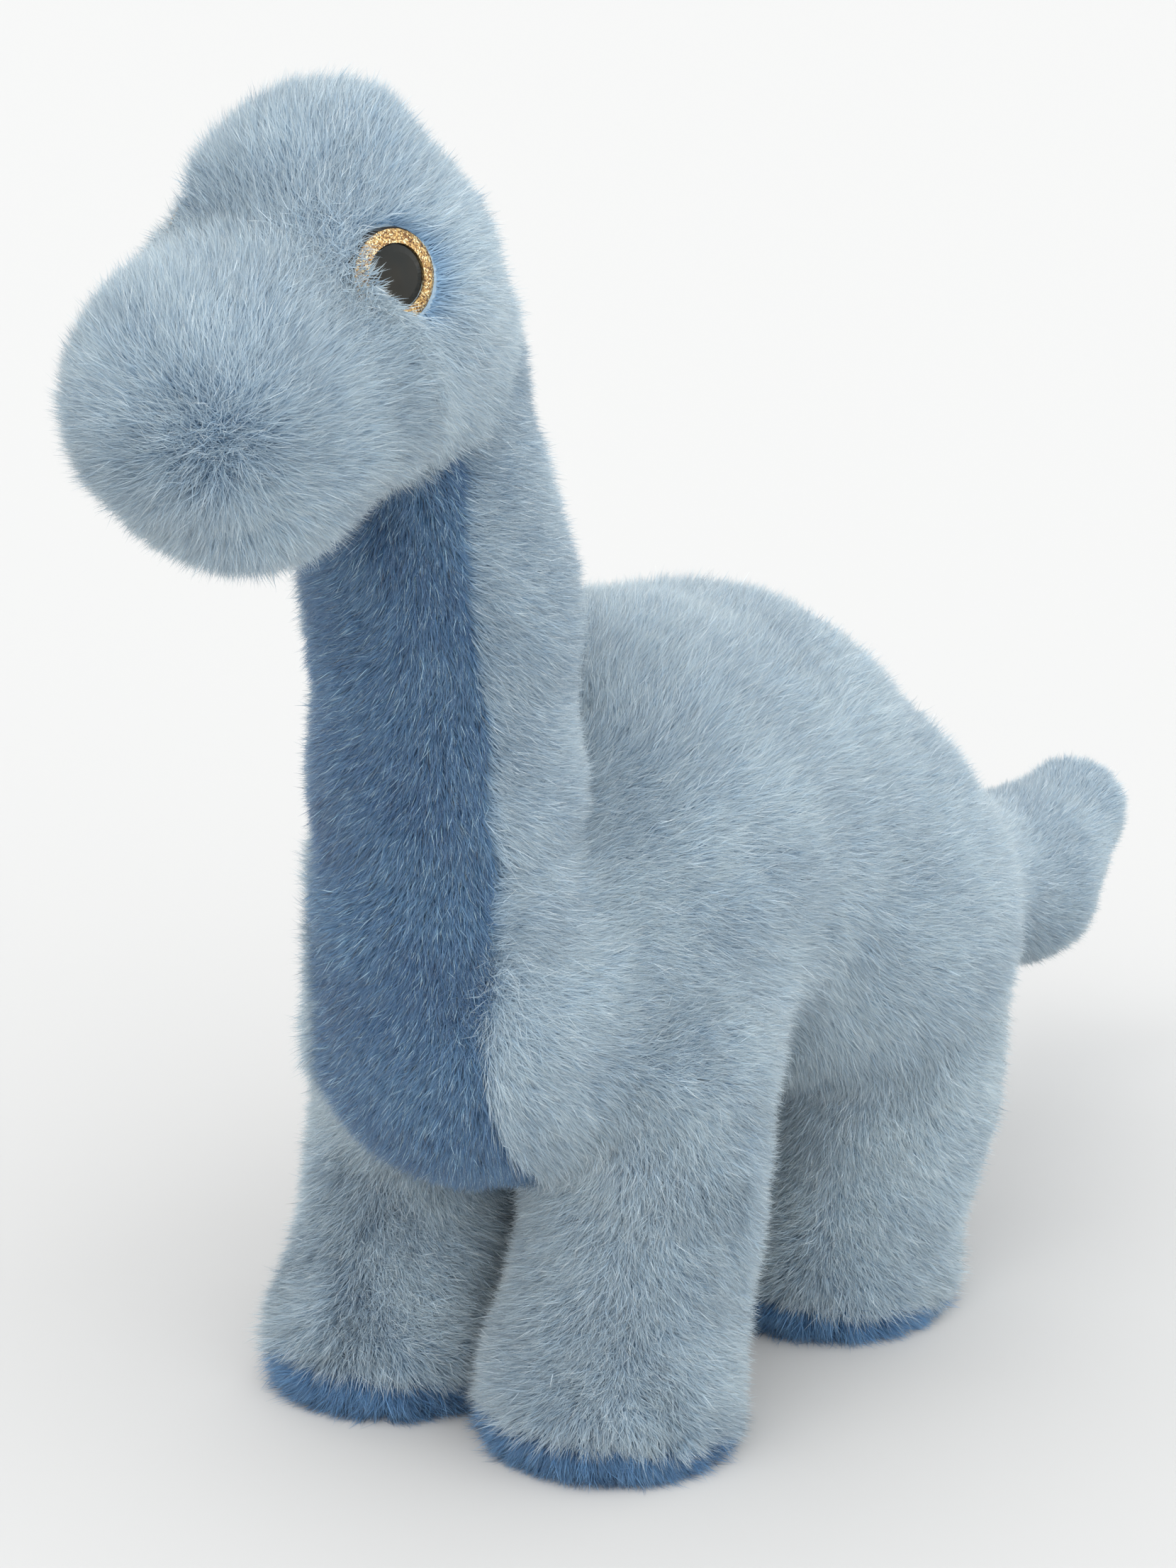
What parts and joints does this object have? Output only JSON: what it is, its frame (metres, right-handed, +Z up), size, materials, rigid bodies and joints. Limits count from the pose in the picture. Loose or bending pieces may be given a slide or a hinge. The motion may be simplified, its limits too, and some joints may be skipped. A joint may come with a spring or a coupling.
{
  "type": "stuffed dinosaur",
  "caption": "Stuffed long-necked dinosaur in light blue pile plush with a dark blue throat, belly and soles, domed glitter eyes and a short round tail.",
  "frame": {"origin": "centre of the bounding box footprint, on the ground plane under the soles", "axes": "+Z up, -Y the way the toy faces, +X towards its left side"},
  "size_m": [0.1168, 0.371, 0.2954],
  "materials": {
    "body_left_panel": "light blue-grey pile plush, soft matt",
    "body_right_panel": "light blue-grey pile plush, soft matt",
    "belly_panel": "dark blue pile plush with a slight sparkle, matt",
    "body_stuffing": "white polyester fibre filling, matt",
    "neck_left_panel": "light blue-grey pile plush, soft matt",
    "neck_right_panel": "light blue-grey pile plush, soft matt",
    "throat_panel": "dark blue pile plush with a slight sparkle, matt",
    "neck_stuffing": "white polyester fibre filling, matt",
    "crown_gusset": "light blue-grey pile plush, soft matt",
    "head_left_panel": "light blue-grey pile plush, soft matt",
    "head_right_panel": "light blue-grey pile plush, soft matt",
    "muzzle_panel": "light blue-grey pile plush, soft matt",
    "chin_panel": "light blue-grey pile plush, soft matt",
    "head_stuffing": "white polyester fibre filling, matt",
    "nostril_left_stitch": "grey-blue sewing thread",
    "eye_left_cap_and_shank": "black moulded plastic, glossy",
    "eye_left_glitter_ring": "gold and brown glitter under clear plastic, glossy",
    "eye_left_pupil": "black-brown plastic dome, glossy",
    "eye_left_washer": "natural white nylon",
    "nostril_right_stitch": "grey-blue sewing thread",
    "eye_right_cap_and_shank": "black moulded plastic, glossy",
    "eye_right_glitter_ring": "gold and brown glitter under clear plastic, glossy",
    "eye_right_pupil": "black-brown plastic dome, glossy",
    "eye_right_washer": "natural white nylon",
    "tail_left_panel": "light blue-grey pile plush, soft matt",
    "tail_right_panel": "light blue-grey pile plush, soft matt",
    "tail_stuffing": "white polyester fibre filling, matt",
    "front_left_leg_outer_panel": "light blue-grey pile plush, soft matt",
    "front_left_leg_inner_panel": "light blue-grey pile plush, soft matt",
    "front_left_leg_sole": "dark blue short pile plush, matt",
    "front_left_leg_stuffing": "white polyester fibre filling, matt",
    "front_right_leg_outer_panel": "light blue-grey pile plush, soft matt",
    "front_right_leg_inner_panel": "light blue-grey pile plush, soft matt",
    "front_right_leg_sole": "dark blue short pile plush, matt",
    "front_right_leg_stuffing": "white polyester fibre filling, matt",
    "rear_left_leg_outer_panel": "light blue-grey pile plush, soft matt",
    "rear_left_leg_inner_panel": "light blue-grey pile plush, soft matt",
    "rear_left_leg_sole": "dark blue short pile plush, matt",
    "rear_left_leg_stuffing": "white polyester fibre filling, matt",
    "rear_right_leg_outer_panel": "light blue-grey pile plush, soft matt",
    "rear_right_leg_inner_panel": "light blue-grey pile plush, soft matt",
    "rear_right_leg_sole": "dark blue short pile plush, matt",
    "rear_right_leg_stuffing": "white polyester fibre filling, matt"
  },
  "bodies": {
    "torso": {"body_left_panel": "body_left_panel", "body_right_panel": "body_right_panel", "belly_panel": "belly_panel", "body_stuffing": "body_stuffing"},
    "neck": {"neck_left_panel": "neck_left_panel", "neck_right_panel": "neck_right_panel", "throat_panel": "throat_panel", "neck_stuffing": "neck_stuffing"},
    "head": {"crown_gusset": "crown_gusset", "head_left_panel": "head_left_panel", "head_right_panel": "head_right_panel", "muzzle_panel": "muzzle_panel", "chin_panel": "chin_panel", "head_stuffing": "head_stuffing", "nostril_left_stitch": "nostril_left_stitch", "eye_left_cap_and_shank": "eye_left_cap_and_shank", "eye_left_glitter_ring": "eye_left_glitter_ring", "eye_left_pupil": "eye_left_pupil", "eye_left_washer": "eye_left_washer", "nostril_right_stitch": "nostril_right_stitch", "eye_right_cap_and_shank": "eye_right_cap_and_shank", "eye_right_glitter_ring": "eye_right_glitter_ring", "eye_right_pupil": "eye_right_pupil", "eye_right_washer": "eye_right_washer"},
    "tail": {"tail_left_panel": "tail_left_panel", "tail_right_panel": "tail_right_panel", "tail_stuffing": "tail_stuffing"},
    "front_left_leg": {"front_left_leg_outer_panel": "front_left_leg_outer_panel", "front_left_leg_inner_panel": "front_left_leg_inner_panel", "front_left_leg_sole": "front_left_leg_sole", "front_left_leg_stuffing": "front_left_leg_stuffing"},
    "front_right_leg": {"front_right_leg_outer_panel": "front_right_leg_outer_panel", "front_right_leg_inner_panel": "front_right_leg_inner_panel", "front_right_leg_sole": "front_right_leg_sole", "front_right_leg_stuffing": "front_right_leg_stuffing"},
    "rear_left_leg": {"rear_left_leg_outer_panel": "rear_left_leg_outer_panel", "rear_left_leg_inner_panel": "rear_left_leg_inner_panel", "rear_left_leg_sole": "rear_left_leg_sole", "rear_left_leg_stuffing": "rear_left_leg_stuffing"},
    "rear_right_leg": {"rear_right_leg_outer_panel": "rear_right_leg_outer_panel", "rear_right_leg_inner_panel": "rear_right_leg_inner_panel", "rear_right_leg_sole": "rear_right_leg_sole", "rear_right_leg_stuffing": "rear_right_leg_stuffing"}
  },
  "joints": [
    {"name": "neck_bend", "type": "hinge", "parent": "torso", "child": "neck", "pos_m": [0, -0.084, 0.148], "axis": [1, 0, 0], "range_deg": [-8, 8], "stiffness_Nm_per_rad": 1.2},
    {"name": "head_nod", "type": "hinge", "parent": "neck", "child": "head", "pos_m": [0, -0.101, 0.234], "axis": [1, 0, 0], "range_deg": [-10, 10], "stiffness_Nm_per_rad": 0.8},
    {"name": "tail_wag", "type": "hinge", "parent": "torso", "child": "tail", "pos_m": [0, 0.072, 0.088], "axis": [0, 0, 1], "range_deg": [-12, 12], "stiffness_Nm_per_rad": 0.3},
    {"name": "front_left_leg_swing", "type": "hinge", "parent": "torso", "child": "front_left_leg", "pos_m": [0.029, -0.049, 0.08], "axis": [1, 0, 0], "range_deg": [-10, 10], "stiffness_Nm_per_rad": 1.5},
    {"name": "front_right_leg_swing", "type": "hinge", "parent": "torso", "child": "front_right_leg", "pos_m": [-0.029, -0.049, 0.08], "axis": [1, 0, 0], "range_deg": [-10, 10], "stiffness_Nm_per_rad": 1.5},
    {"name": "rear_left_leg_swing", "type": "hinge", "parent": "torso", "child": "rear_left_leg", "pos_m": [0.029, 0.034, 0.08], "axis": [1, 0, 0], "range_deg": [-10, 10], "stiffness_Nm_per_rad": 1.5},
    {"name": "rear_right_leg_swing", "type": "hinge", "parent": "torso", "child": "rear_right_leg", "pos_m": [-0.029, 0.034, 0.08], "axis": [1, 0, 0], "range_deg": [-10, 10], "stiffness_Nm_per_rad": 1.5}
  ]
}
